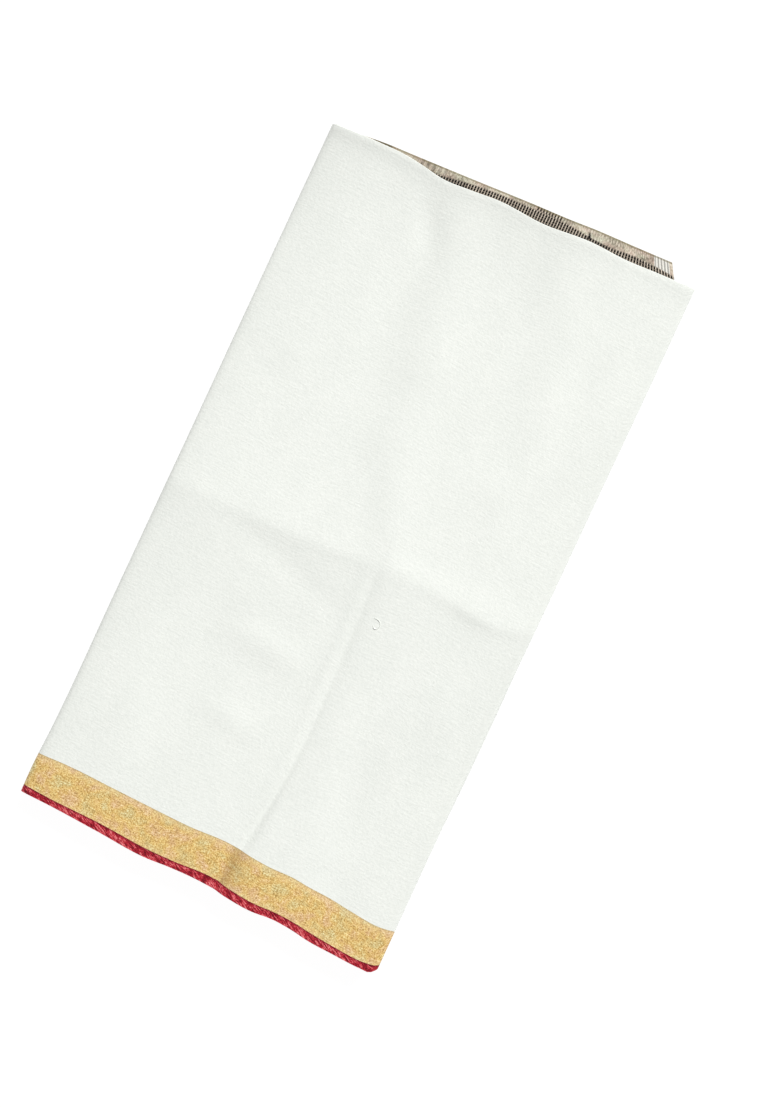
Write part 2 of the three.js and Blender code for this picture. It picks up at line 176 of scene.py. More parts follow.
# The selvedge end on the top face and underneath: the cloth's edge, and where its red and its gold end.
SELVEDGE_END = {
    "across": (-153, -132, -88, -44, -26, 10, 24, 45, 64, 78, 96, 116, 140, 147, 150, 153),
    "edge": (
        -281.7, -281.8, -284.2, -287.0, -285.8, -286.3, -288.2, -289.8,
        -288.4, -289.3, -292.0, -293.1, -294.1, -293.7, -291.2, -285.5,
    ),
    "red": (
        -276.0, -276.9, -277.8, -280.5, -280.3, -279.2, -281.5, -283.4,
        -282.8, -283.5, -285.8, -287.7, -288.6, -287.6, -286.6, -283.0,
    ),
    "gold": (
        -249.6, -248.3, -249.2, -250.6, -251.0, -249.9, -251.5, -253.1,
        -252.8, -254.2, -255.2, -257.6, -259.2, -258.3, -257.6, -257.3,
    ),
}
UNDER_SELVEDGE_END = {
    "across": (-153, -60, 40, 142, 150, 153),
    "edge": (-282.5, -284.6, -286.6, -290.5, -287.5, -284.0),
    "red": (-277.0, -278.6, -280.5, -284.5, -282.5, -279.5),
    "gold": (-248.6, -249.6, -251.6, -255.5, -255.0, -254.6),
}
# The folded end: the outer cloth's edge, and the line behind which the layers inside it stay.
FOLDED_END = {
    "across": (-153, -128, -115, -88, -76, -59, -35, -12, 27, 66, 96, 120, 153),
    "edge": (284.4, 285.2, 285.4, 284.9, 283.3, 280.5, 281.4, 283.4, 281.7, 284.8, 283.9, 285.0, 286.2),
    "inner": (287.6, 288.0, 287.0, 284.9, 283.3, 280.5, 281.4, 283.4, 281.7, 284.8, 283.9, 285.0, 286.2),
}
UNDER_FOLDED_END = {
    "across": (-153, 0, 153),
    "edge": (284.0, 283.0, 284.8),
    "inner": (284.0, 283.0, 284.8),
}

# How far the spine and both books of folds stand out past their straight lines.
SIDES = {
    "along": (-300, -258, -230, -110, 20, 120, 190, 300),
    "spine": (0.4, 1.1, 0.1, 0.0, 0.0, 0.3, 0.4, 0.3),
    "upper": (0.7, 0.5, 0.3, 0.0, 1.1, 1.3, 1.6, 1.2),
    "lower": (0.9, 1.5, 2.1, 4.3, 3.1, 1.7, 1.3, 0.9),
}


def height_of(panel):
    """The height of a panel's middle in the neatly folded packet."""
    return WALL / 2 + PANELS_FROM_BELOW.index(panel) * PITCH


def turn_radius(panel):
    """The radius of the turn from a panel to the next."""
    return abs(height_of(panel + 1) - height_of(panel)) / 2


SPINE_X = LEFT + WALL / 2 + turn_radius(UNDER_PANEL)
UPPER_X = RIGHT - WALL / 2 - turn_radius(TOP_PANEL)
LOWER_X = RIGHT - LOWER_BOOK_INSET - WALL / 2 - turn_radius(LOWER_STUB)
BETWEEN_BOOKS = (height_of(UPPER_STUB) + height_of(LOWER_STUB)) / 2


def line_through(table, value, at="across"):
    """A smooth curve through a column of a table, over another of its columns."""
    xs, ys = np.array(table[at], float), np.array(table[value], float)
    slopes = np.gradient(ys, xs)

    def line(x):
        x = np.clip(x, xs[0], xs[-1])
        i = np.clip(np.searchsorted(xs, x, side="right") - 1, 0, len(xs) - 2)
        step = xs[i + 1] - xs[i]
        t = (x - xs[i]) / step
        return (
            (1 + 2 * t) * (1 - t) ** 2 * ys[i]
            + t * (1 - t) ** 2 * step * slopes[i]
            + t**2 * (3 - 2 * t) * ys[i + 1]
            - t**2 * (1 - t) * step * slopes[i + 1]
        )

    return line


def end_line(top_table, under_table, value):
    """A line of the packet's ends, which runs from its course underneath to its course on the top face."""
    top, under = line_through(top_table, value), line_through(under_table, value)
    return lambda x, z: under(x) + (top(x) - under(x)) * z / THICKNESS


cloth_edge = end_line(SELVEDGE_END, UNDER_SELVEDGE_END, "edge")
red_end = end_line(SELVEDGE_END, UNDER_SELVEDGE_END, "red")
gold_end = end_line(SELVEDGE_END, UNDER_SELVEDGE_END, "gold")
folded_edge = end_line(FOLDED_END, UNDER_FOLDED_END, "edge")
inner_fold = end_line(FOLDED_END, UNDER_FOLDED_END, "inner")
spine_bulge = line_through(SIDES, "spine", at="along")
upper_bulge = line_through(SIDES, "upper", at="along")
lower_bulge = line_through(SIDES, "lower", at="along")

# The crease across the top panel, from left to right: its course, how sharply the cloth drops at it, and how
# much further it comes down below it.
CROSS_CREASE = {
    "across": (-153, -100, -60, -20, 22, 45, 75, 105, 120, 153),
    "along": (-17, -17.1, -16.6, -14.4, -11.2, -9.7, -11.5, -15.2, -16.1, -8.4),
    "drop": (0.1, 0.3, 0.5, 0.55, 0.5, 0.45, 0.8, 1.6, 1.3, 0.6),
    "fall": (1.6, 2.2, 2.4, 2.3, 2.1, 1.8, 1.2, 0.7, 0.4, 0.3),
}
# The crease down the lower half of the top panel: its course, how high the cloth rises to its right and
# bulges to its left, and how deep and wide the trough in it is.
LENGTH_CREASE = {
    "along": (-300, -280, -262, -245, -205, -160, -110, -60, -14, 10),
    "across": (12.5, 13.5, 16, 19.5, 24.8, 28.5, 28, 26.5, 24, 23),
    "step": (3.4, 3.4, 3.4, 3.2, 2.9, 2.6, 2.6, 2.6, 1.8, 0),
    "bulge": (0, 0, 0, 0, 0.3, 0.6, 0.8, 0.7, 0.3, 0),
    "trough": (2.2, 2.2, 2.4, 2.4, 1.4, 0.6, 0.2, 0.2, 0.1, 0),
    "width": (3.6, 3.6, 4.6, 5.2, 3.6, 3, 3, 3, 3, 3),
}
# Long soft ridges in the upper half. One runs on from that crease, and the other lies to its right.
LONG_RIDGES = (
    {
        "along": (-10, 15, 46, 77, 118, 152, 180, 233, 262, 300),
        "across": (24, 20, 8, -4, -10, -13, -17, -25, -29, -33),
        "height": (0, 0.9, 1.5, 1.8, 2.0, 2.7, 3.0, 2.7, 2.3, 1.9),
        "width": (19, 19, 20, 20, 20, 21, 21, 21, 21, 21),
    },
    {
        "along": (20, 60, 77, 110, 150, 200, 245, 300),
        "across": (92, 90, 87, 98, 94, 72, 58, 50),
        "height": (0.4, 1.4, 1.7, 1.3, 1.1, 0.7, 1.3, 1.3),
        "width": (20, 20, 20, 20, 21, 21, 20, 20),
    },
)
# Shorter soft folds: ridges, and troughs where the height is below zero, each along a line between two
# places.
TOP_FOLDS = (
    {"start": (-98, -21), "end": (8, -54), "width": 11, "height": -0.5},
    {"start": (-62, -56), "end": (-56, -92), "width": 18, "height": 0.7},
    {"start": (-56, -97), "end": (-6, -104), "width": 13, "height": 1.2},
    {"start": (-48, -160), "end": (-14, -165), "width": 11, "height": 0.8},
    {"start": (78, -130), "end": (84, -236), "width": 18, "height": -1.8},
    {"start": (52, -120), "end": (56, -230), "width": 14, "height": 1.1},
    {"start": (-61, 264), "end": (-43, 222), "width": 10, "height": -1.5},
    {"start": (-98, 250), "end": (-112, 120), "width": 18, "height": 1.4},
    {"start": (-74, 10), "end": (-60, 150), "width": 20, "height": 0.8},
    {"start": (128, 120), "end": (126, 246), "width": 16, "height": 1.2},
    {"start": (-112, -150), "end": (-92, -240), "width": 17, "height": 1.1},
    {"start": (108, -60), "end": (118, -118), "width": 13, "height": 0.7},
)
UNDER_FOLDS = (
    {"start": (-150, -10), "end": (60, -22), "width": 5, "height": 0.8},
    {"start": (60, -22), "end": (150, -14), "width": 4, "height": 0.6},
    {"start": (24, -16), "end": (20, -290), "width": 5, "height": 0.7},
    {"start": (-110, 220), "end": (-40, 120), "width": 9, "height": 0.35},
    {"start": (90, 250), "end": (40, 150), "width": 8, "height": 0.3},
    {"start": (-90, -120), "end": (-30, -200), "width": 8, "height": 0.3},
)


FOLD_FADE, FOLD_MARGIN = 0.65, 0.02


def rise(x, low, high):
    """From 0 at low to 1 at high, smoothly."""
    t = np.clip((x - low) / (high - low), 0, 1)
    return t * t * (3 - 2 * t)


def past(x, softness):
    """Zero before x = 0 and x after it, with a soft bend between the two."""
    return softness * np.logaddexp(0, x / softness)


def fold_height(x, y, start, end, width, height):
    """The height of a soft fold at a place. It is highest half way, and fades past both of its ends."""
    along = np.subtract(end, start)
    share = np.clip(((x - start[0]) * along[0] + (y - start[1]) * along[1]) / (along @ along), 0, 1)
    away = np.hypot(x - start[0] - share * along[0], y - start[1] - share * along[1])
    fade = 1 - FOLD_FADE + FOLD_FADE * np.sin(np.pi * np.clip(share, FOLD_MARGIN, 1 - FOLD_MARGIN))
    return height * fade * np.exp(-((away / width) ** 2))


def ridge_height(x, y, ridge):
    """The height of a long ridge at a place."""
    columns = ("across", "height", "width")
    across, height, width = (line_through(ridge, column, at="along")(y) for column in columns)
    return height * np.exp(-(((x - across) / width) ** 2))


cross_y = line_through(CROSS_CREASE, "along")
cross_drop = line_through(CROSS_CREASE, "drop")
cross_fall = line_through(CROSS_CREASE, "fall")
length_x = line_through(LENGTH_CREASE, "across", at="along")
length_step = line_through(LENGTH_CREASE, "step", at="along")
length_bulge = line_through(LENGTH_CREASE, "bulge", at="along")
length_trough = line_through(LENGTH_CREASE, "trough", at="along")
trough_width = line_through(LENGTH_CREASE, "width", at="along")

# How high the cloth lies above its neat place. A reach is the way over which a rise, drop or lip comes in or
# fades, and a bend is how softly it starts.
LOFT = 0.8
SPINE_DROOP, SPINE_REACH = 8.0, 20
SIDE_SLACK = 34
# It rises to a ridge at the crease across, drops below it and falls on, and it steps up to the right of the
# crease down, with a soft bulge to its left.
RIDGE_RISE, RIDGE_REACH = 4.2, 85
DROP_REACH, FALL_REACH, STEP_REACH, STEP_FADE = 4.0, 36, 10, 90
CREASE_BEND, FALL_BEND, STEP_BEND = 2.0, 2.5, 0.8
BULGE_AWAY, BULGE_WIDTH = 7.5, 5
# It lifts towards both ends, but less so at the right of the folded one.
SELVEDGE_RISE, SELVEDGE_RISE_FROM, SELVEDGE_RISE_TO = 2.4, 80, 290
FOLD_RISE, FOLD_RISE_Y, FOLD_RISE_BEND, FOLD_RISE_REACH = 4.6, 185, 12, 95
RIGHT_RISE_LESS, RIGHT_RISE_FROM, RIGHT_RISE_TO = 0.85, 10, 120
# A lip stands up at the folded end, higher at its left and lower at its right, and along the open side.
FOLD_LIP, FOLD_LIP_REACH, FOLD_LIP_Y = 0.95, 6, 283
LEFT_LIP_MORE, LEFT_LIP_FROM, LEFT_LIP_TO = 0.7, -150, -60
RIGHT_LIP_LESS, RIGHT_LIP_FROM, RIGHT_LIP_TO = 0.4, 0, 100
OPEN_SIDE_LIP, OPEN_SIDE_REACH = 1.4, 4
SIDE_LIP_FROM, SIDE_LIP_FULL, SIDE_LIP_WANES, SIDE_LIP_TO = -290, -150, 150, 260


def top_relief(x, y):
    """How far the top panel stands above its neat place."""
    above = y - cross_y(x)
    ridge = RIDGE_RISE * np.exp(-past(above, CREASE_BEND) / RIDGE_REACH)
    drop = cross_drop(x) * (1 - np.exp(-past(-above, CREASE_BEND) / DROP_REACH))
    fall = cross_fall(x) * (1 - np.exp(-past(-above, FALL_BEND) / FALL_REACH))
    aside = x - length_x(y)
    past_step = past(aside, STEP_BEND)
    step = length_step(y) * (1 - np.exp(-past_step / STEP_REACH)) * np.exp(-past_step / STEP_FADE)
    bulge = length_bulge(y) * np.exp(-(((aside + BULGE_AWAY) / BULGE_WIDTH) ** 2))
    trough = length_trough(y) * np.exp(-((aside / trough_width(y)) ** 2))
    folds = sum(fold_height(x, y, **fold) for fold in TOP_FOLDS)
    folds = folds + sum(ridge_height(x, y, ridge_line) for ridge_line in LONG_RIDGES)
    fold_end = FOLD_RISE * (past(y - FOLD_RISE_Y, FOLD_RISE_BEND) / FOLD_RISE_REACH) ** 2
    fold_end = fold_end * (1 - RIGHT_RISE_LESS * rise(x, RIGHT_RISE_FROM, RIGHT_RISE_TO))
    more = LEFT_LIP_MORE * (1 - rise(x, LEFT_LIP_FROM, LEFT_LIP_TO))
    less = RIGHT_LIP_LESS * rise(x, RIGHT_LIP_FROM, RIGHT_LIP_TO)
    fold_lip = FOLD_LIP * (1 + more - less) * np.exp(np.minimum(y - FOLD_LIP_Y, 0) / FOLD_LIP_REACH)
    side_lip = OPEN_SIDE_LIP * np.exp((x - RIGHT) / OPEN_SIDE_REACH)
    side_lip = side_lip * rise(y, SIDE_LIP_FROM, SIDE_LIP_FULL) * (1 - rise(y, SIDE_LIP_WANES, SIDE_LIP_TO))
    selvedge_end = SELVEDGE_RISE * rise(-y, SELVEDGE_RISE_FROM, SELVEDGE_RISE_TO)
    spine_droop = SPINE_DROOP * np.exp(-(x - LEFT) / SPINE_REACH)
    creases = ridge - drop - fall + step + bulge - trough
    return LOFT + creases + folds + fold_end + selvedge_end - spine_droop + fold_lip + side_lip


UNDER_MARGIN = 8


def under_relief(x, y):
    """How far the under panel's creases lift off the table. They fade out at both of its sides."""
    inside = rise(x, SPINE_X, SPINE_X + UNDER_MARGIN) * (1 - rise(x, LOWER_X - UNDER_MARGIN, LOWER_X))
    return inside * np.maximum(sum(fold_height(x, y, **fold) for fold in UNDER_FOLDS), 0)


def settle(x, y, z):
    """Where a point of the neatly folded packet really lies."""
    lift = top_relief(x, y) * (z / THICKNESS) ** 2 + under_relief(x, y) * (1 - z / THICKNESS) ** 2
    to_spine = rise(-x, -SPINE_X - SIDE_SLACK, -SPINE_X)
    to_open_side = rise(x, UPPER_X - SIDE_SLACK, UPPER_X)
    bulge = np.where(z > BETWEEN_BOOKS, upper_bulge(y), lower_bulge(y))
    return x - spine_bulge(y) * to_spine + bulge * to_open_side, y, z + lift


TURN_SQUARENESS = 5.0
TURN_STEP, FEWEST_TURN_ROWS = 1.1, 7
SAME_PLACE = 0.01


def turn_x(panel):
    """The x at which a panel bends round into the next."""
    if panel % 2 == 0:
        return SPINE_X
    return UPPER_X if (height_of(panel) + height_of(panel + 1)) / 2 > BETWEEN_BOOKS else LOWER_X


def course(first, start_x, last, end_x, panel_step, more=()):
    """The cloth's course in the X-Z section from one panel to a later one, as rows of x and z, with a row
    also at each x of `more`. Its turns are pressed squarer than half circles are."""
    points = []
    for panel in range(first, last + 1):
        x0 = start_x if panel == first else turn_x(panel - 1)
        x1 = end_x if panel == last else turn_x(panel)
        steps = max(1, round(abs(x1 - x0) / panel_step))
        between_ends = [x for x in more if min(x0, x1) < x < max(x0, x1)]
        xs = np.unique(np.r_[np.linspace(x0, x1, steps + 1), between_ends])
        points += [(x, height_of(panel)) for x in (xs if x0 < x1 else xs[::-1])]
        if panel < last:
            radius, outward = turn_radius(panel), -1 if panel % 2 == 0 else 1
            here, there = height_of(panel), height_of(panel + 1)
            middle, up = (here + there) / 2, np.sign(there - here)
            angles = np.linspace(0, np.pi, max(FEWEST_TURN_ROWS, round(np.pi * radius / TURN_STEP)))
            out = np.sin(angles) ** (2 / TURN_SQUARENESS)
            along = np.sign(np.cos(angles)) * np.abs(np.cos(angles)) ** (2 / TURN_SQUARENESS)
            points += list(zip(turn_x(panel) + outward * radius * out, middle - up * radius * along))
    points = np.array(points)
    doubled = np.hypot(*np.diff(points, axis=0).T) < SAME_PLACE
    return points[np.r_[True, ~doubled]]


def length_of(line):
    """The length of a line in the X-Z section."""
    return float(np.hypot(*np.diff(line, axis=0).T).sum())


ROUND_END_DEGREES = (22, 45, 66, 84)


def cloth_shell(name, line, start, stop, shares, material, round_end=False, place=settle):
    """A closed thin shell of doubled cloth along a line. `start` and `stop` give the y of its ends at a
    place of the line, and `shares` the shares of the way between them that have points. Its UVs are metres
    along the cloth, with metres from the selvedge or from its far end."""
    x, z = line.T
    before, after = np.roll(line, 1, axis=0), np.roll(line, -1, axis=0)
    before[0], after[-1] = line[0], line[-1]
    along = after - before
    normal = np.stack([-along[:, 1], along[:, 0]], axis=1) / np.hypot(*along.T)[:, None]
    length = np.r_[0, np.cumsum(np.hypot(*np.diff(line, axis=0).T))]
    y0, y1 = start(x, z), stop(x, z)
    half = WALL / 2
    if round_end:
        bend = np.radians(ROUND_END_DEGREES)
        y = [y0 + (y1 - half - y0) * share for share in shares]
        y += [y1 - half * (1 - np.sin(angle)) for angle in bend]
        halves = [half] * len(shares) + [half * math.cos(angle) for angle in bend]
    else:
        y = [y0 + (y1 - y0) * share for share in shares]
        halves = [half] * len(shares)
    y, halves = np.array(y), np.array(halves)[:, None]
    rows, columns = y.shape
    edge = cloth_edge(x, z)
    faces = []
    for side in (1, -1):
        placed = place(x + side * halves * normal[:, 0], y, z + side * halves * normal[:, 1])
        faces.append(np.stack(placed, axis=-1).reshape(-1, 3))
    points = np.concatenate(faces) * MM
    lengths = np.broadcast_to(length, y.shape)
    maps = {"cloth": np.stack([lengths, y - edge], axis=-1), "fold": np.stack([lengths, y1 - y], axis=-1)}
    cell = (np.arange(rows - 1)[:, None] * columns + np.arange(columns - 1)).reshape(-1)
    outer = np.stack([cell, cell + 1, cell + columns + 1, cell + columns], axis=1)
    inner = outer[:, ::-1] + rows * columns
    border = np.r_[
        np.arange(columns - 1),
        np.arange(rows - 1) * columns + columns - 1,
        rows * columns - 1 - np.arange(columns - 1),
        (rows - 1 - np.arange(rows - 1)) * columns,
    ]
    ahead = np.roll(border, -1)
    rim = np.stack([ahead, border, border + rows * columns, ahead + rows * columns], axis=1)
    quads = np.concatenate([outer, inner, rim])
    mesh = bpy.data.meshes.new(name)
    mesh.from_pydata(points.tolist(), [], quads.tolist())
    for key, values in maps.items():
        both_faces = np.tile(values.reshape(-1, 2) * MM, (2, 1))
        mesh.uv_layers.new(name=key).data.foreach_set("uv", both_faces[quads.reshape(-1)].reshape(-1))
    mesh.polygons.foreach_set("use_smooth", [True] * len(quads))
    on_rim = np.zeros(len(points), bool)
    on_rim[np.r_[border, border + rows * columns]] = True
    if round_end:
        last_row = np.arange(columns) + (rows - 1) * columns
        on_rim[np.r_[last_row, last_row + rows * columns]] = False
    edges = np.empty(2 * len(mesh.edges), int)
    mesh.edges.foreach_get("vertices", edges)
    mesh.edges.foreach_set("use_edge_sharp", on_rim[edges.reshape(-1, 2)].all(axis=1).tolist())
    mesh.materials.append(material)
    mesh.update()
    piece = bpy.data.objects.new(name, mesh)
    bpy.context.collection.objects.link(piece)
    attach(piece, "root")
    return piece


def woven(name, roughness, sheen, gloss=0.25):
    """A new material of woven cloth: its node tree, its shader, and its threads' coordinates in mm."""
    material = bpy.data.materials.new(name)
    material.use_nodes = True
    tree = material.node_tree
    shader = tree.nodes["Principled BSDF"]
    for socket, value in (
        ("Roughness", roughness),
        ("Specular IOR Level", gloss),
        ("Sheen Weight", sheen),
        ("Sheen Roughness", 0.6),
    ):
        shader.inputs[socket].default_value = value
    along = add_node(tree, "ShaderNodeUVMap", uv_map="cloth").outputs["UV"]
    to_mm = (1 / MM, 1 / MM, 1 / MM)
    threads = add_node(tree, "ShaderNodeVectorMath", {0: along, 1: to_mm}, operation="MULTIPLY")
    return material, tree, shader, threads.outputs[0]


def slubs(tree, threads, length, width, detail=2.0, seed=0.0, distortion=0.0):
    """Uneven threads: noise that is stretched to a slub's length along the cloth and its width across it."""
    scale, offset = (1 / length, 1 / width, 1), (seed, seed * 1.7, seed)
    stretched = add_node(
        tree, "ShaderNodeVectorMath", {0: threads, 1: scale, 2: offset}, operation="MULTIPLY_ADD"
    )
    settings = {"Scale": 1, "Detail": detail, "Roughness": 0.55, "Distortion": distortion}
    noise = add_node(tree, "ShaderNodeTexNoise", {"Vector": stretched.outputs[0], **settings})
    return noise.outputs["Fac"]


def mixture(tree, *parts):
    """The sum of some outputs, each times its share."""
    total = 0.0
    for value, share in parts:
        inputs = {0: value, 1: share, 2: total}
        total = add_node(tree, "ShaderNodeMath", inputs, operation="MULTIPLY_ADD").outputs[0]
    return total


def tinted(tree, tone, low, high, *stops):
    """Colours along a tone from low to high: stops of a share of that way and a colour."""
    spread = add_node(tree, "ShaderNodeMapRange", {"Value": tone, "From Min": low, "From Max": high})
    return add_node(tree, "ShaderNodeValToRGB", {"Fac": spread.outputs[0]}, stops).outputs["Color"]


def cast_in_patches(tree, colour, patches, *stops):
    """A colour with a warmer or cooler cast from patch to patch."""
    cast = add_node(tree, "ShaderNodeValToRGB", {"Fac": patches}, stops).outputs["Color"]
    both = {"Factor": 1, 6: colour, 7: cast}
    return add_node(tree, "ShaderNodeMix", both, data_type="RGBA", blend_type="MULTIPLY").outputs[2]


def layered(tree, ground, *layers):
    """A ground with colours laid over it in turn, each by its share."""
    for share, colour in layers:
        inputs = {"Factor": share, 6: ground, 7: linear(colour)}
        ground = add_node(tree, "ShaderNodeMix", inputs, data_type="RGBA").outputs[2]
    return ground


def from_far_end(tree):
    """The distance from a shell's far end, in millimetres."""
    fold = add_node(tree, "ShaderNodeUVMap", uv_map="fold").outputs["UV"]
    away = add_node(tree, "ShaderNodeSeparateXYZ", {0: fold}).outputs["Y"]
    return add_node(tree, "ShaderNodeMath", {0: away, 1: 1 / MM}, operation="MULTIPLY").outputs[0]


def between(tree, distance, start, stop, share, sides=(0.5, 0.5)):
    """The given share from start to stop, and 0 outside them. It comes in and goes out over the
    widths of its sides."""
    opens = {"Value": distance, "From Min": start - sides[0], "From Max": start, "To Max": share}
    closes = {"Value": distance, "From Min": stop + sides[1], "From Max": stop}
    both = [add_node(tree, "ShaderNodeMapRange", ends).outputs[0] for ends in (opens, closes)]
    return add_node(tree, "ShaderNodeMath", {0: both[0], 1: both[1]}, operation="MULTIPLY").outputs[0]


THREAD_RELIEF = 0.5


def finish_cloth(tree, shader, colour, relief=None, strength=0.6):
    """Gives a cloth its colour, and its threads their relief."""
    tree.links.new(colour, shader.inputs["Base Color"])
    if relief is not None:
        inputs = {"Strength": strength, "Distance": THREAD_RELIEF * MM, "Height": relief}
        bump = add_node(tree, "ShaderNodeBump", inputs)
        tree.links.new(bump.outputs["Normal"], shader.inputs["Normal"])


# The outer stretch's way round the packet, with its rows closer together at the crease down the top panel.
TOP_STEP, UNDER_STEP = 2.9, 7.0
GOLD_CREASE_X = 14.5
top_course = course(TOP_PANEL, SPINE_X, UPPER_STUB, TUCK_X, TOP_STEP)
on_top = top_course[:, 1] > height_of(TOP_PANEL) - SAME_PLACE
near_length_crease = np.arange(2, 36, 0.7)
top_xs = np.unique(np.r_[top_course[on_top, 0], near_length_crease])
outer_line = np.concatenate([
    course(LOWER_STUB, TUCK_X, UNDER_PANEL, SPINE_X, UNDER_STEP),
    course(UNDER_PANEL, SPINE_X, TOP_PANEL, SPINE_X, UNDER_STEP)[1:-1],
    np.stack([top_xs, np.full_like(top_xs, height_of(TOP_PANEL))], axis=1),
    top_course[~on_top],
])
# Where the crease down the top panel crosses the gold, for the painted shade there.
in_crease = np.argmin(np.hypot(outer_line[:, 0] - GOLD_CREASE_X, outer_line[:, 1] - height_of(TOP_PANEL)))
to_gold_crease = length_of(outer_line[: in_crease + 1])

# Handloom cotton, plain woven and washed: matt, with faint slubs both ways and a felted, mottled face. Its
# threads lie 0.4 mm apart, which is too fine to show, so the weave is drawn 1.4 mm apart.
cotton, tree, shader, threads = woven("handloom_cotton", 0.92, 0.25)
warp = slubs(tree, threads, 11, 1.4, distortion=0.5)
weft = slubs(tree, threads, 1.4, 9, seed=3.1, distortion=0.5)
grain = slubs(tree, threads, 1.9, 1.9, detail=3.0, seed=7.7)
cloudy = slubs(tree, threads, 26, 40, seed=11.3)
tone = mixture(tree, (warp, 0.4), (weft, 0.4), (grain, 0.8), (cloudy, 0.35))
paler = add_node(tree, "ShaderNodeMapRange", {"Value": tone, "From Min": 0.68, "From Max": 1.28})
colour = layered(tree, linear("#e2e5df"), (paler.outputs[0], "#eef0ea"))
relief = mixture(tree, (warp, 0.5), (weft, 0.5), (grain, 1.0))
finish_cloth(tree, shader, colour, relief, strength=0.5)

# Gold tissue: yellow cotton with a fine gold thread beside it, so that it is speckled from cream to brown,
# with warmer, pinker and greener patches, and has a dull glint. Its warp threads run along the selvedge. The
# weave is closer, and so darker, in a narrow line along the white cotton, and paler just past that and
# beside the selvedge. Painted shade darkens it in the crease down the packet, mostly on the crease's right.
tissue, tree, shader, threads = woven("gold_tissue", 0.65, 0.1)
warp = slubs(tree, threads, 6, 0.8, seed=1.3)
weft = slubs(tree, threads, 0.8, 5, seed=5.9)
grain = slubs(tree, threads, 1.2, 1.0, detail=4.0, seed=2.2)
patches = slubs(tree, threads, 12, 11, seed=9.1)
speckle = mixture(tree, (warp, 0.3), (weft, 0.3), (grain, 1.1))
gold = tinted(
    tree, speckle, 0.62, 1.08, (0, "#a08554"), (0.36, "#d0b07c"), (0.62, "#e5cc9c"), (1, "#fbf0d2")
)
gold = cast_in_patches(tree, gold, patches, (0.32, "#f6fbe6"), (0.5, "#fff3c6"), (0.68, "#fff1ea"))
from_white = from_far_end(tree)
along_cloth = add_node(tree, "ShaderNodeSeparateXYZ", {0: threads}).outputs["X"]
gold = layered(
    tree, gold,
    (between(tree, from_white, -1, 0.3, 0.4, sides=(1, 1)), "#7d7143"),
    (between(tree, from_white, -1, 2, 0.2, sides=(1, 5)), "#f0dfbd"),
    (between(tree, from_white, 28, 100, 0.12, sides=(3, 1)), "#f0dfbd"),
    # painted shade in the crease down the packet, mostly on its right
    (between(tree, along_cloth, to_gold_crease + 1, to_gold_crease + 1.5, 0.36, sides=(5, 18.5)), "#8a6848"),
)
finish_cloth(tree, shader, gold, speckle)

# Crimson selvedge: thick twilled cotton, so bright and dark threads cross it slantwise. A dark strip beside
# the gold is painted shade, where the raised selvedge's edge lies in shadow.
twill, tree, shader, threads = woven("crimson_twill", 0.85, 0.05, gloss=0.1)
TWILL_ANGLE = math.radians(28)
slanted = add_node(
    tree, "ShaderNodeVectorRotate", {"Vector": threads, "Angle": TWILL_ANGLE}, rotation_type="Z_AXIS"
)
strands = slubs(tree, slanted.outputs[0], 4.5, 0.7, seed=4.4)
grain = slubs(tree, threads, 1.2, 0.9, detail=3.0, seed=6.1)
patches = slubs(tree, threads, 7, 4, seed=3.7)
tone = mixture(tree, (strands, 1.0), (grain, 0.6), (patches, 0.3))
red = tinted(tree, tone, 0.76, 1.14, (0, "#5c101a"), (0.38, "#9c1a2a"), (0.66, "#c2303e"), (1, "#e88486"))
# Painted shade on the strip of the selvedge beside the gold.
painted_shade_by_gold = between(tree, from_far_end(tree), -1, 0.4, 0.7, sides=(1, 1.1))
finish_cloth(tree, shader, layered(tree, red, (painted_shade_by_gold, "#5e0c1e")), tone)

# The shares of the way from the gold to the fold that have points. They lie closer together at the crease
# across the packet.
near_cross_crease = np.linspace(0.38, 0.47, 30)
body_shares = np.unique(np.r_[np.linspace(0, 1, 140), near_cross_crease])
border_shares, selvedge_shares = np.linspace(0, 1, 9), np.linspace(0, 1, 3)

outer_body = cloth_shell(
    "outer_body", outer_line, gold_end, folded_edge, body_shares, cotton, round_end=True
)
outer_border = cloth_shell("outer_border", outer_line, red_end, gold_end, border_shares, tissue)
outer_selvedge = cloth_shell("outer_selvedge", outer_line, cloth_edge, red_end, selvedge_shares, twill)
for piece, band, slot in (
    (outer_body, "body", "body_cotton"),
    (outer_border, "border", "border_gold"),
    (outer_selvedge, "selvedge", "selvedge_red"),
):
    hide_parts(f"top_panel_{band}", f"spine_fold_{band}", f"under_panel_{band}")


def add_thread(piece, table, height, place):
    """Joins a loose thread to a piece. It runs through a table's places, at a height in the packet."""
    across, along, lift = (np.array(table[column]) for column in ("across", "along", "lift"))
    x, y, z = place(across, along, np.full_like(across, height))
    points = np.stack([x, y, z + lift], axis=1) * MM
    curve = bpy.data.curves.new("loose_thread", "CURVE")
    curve.dimensions = "3D"
    curve.bevel_depth, curve.bevel_resolution = MM, 1
    curve.use_fill_caps = True
    spline = curve.splines.new("NURBS")
    spline.points.add(len(points) - 1)
    spline.points.foreach_set("co", np.c_[points, np.ones(len(points))].ravel())
    spline.points.foreach_set("radius", np.broadcast_to(table["radius"], across.shape).tolist())
    spline.use_endpoint_u = True
    spline.resolution_u = 3
    drawn = bpy.data.objects.new("loose_thread", curve)
    bpy.context.collection.objects.link(drawn)
    mesh = bpy.data.meshes.new_from_object(drawn.evaluated_get(bpy.context.evaluated_depsgraph_get()))
    bpy.data.objects.remove(drawn)
    thread = bpy.data.objects.new("loose_thread", mesh)
    bpy.context.collection.objects.link(thread)
    mesh.materials.clear()
    mesh.materials.append(piece.data.materials[0])
    with bpy.context.temp_override(active_object=piece, selected_editable_objects=[piece, thread]):
        bpy.ops.object.join()


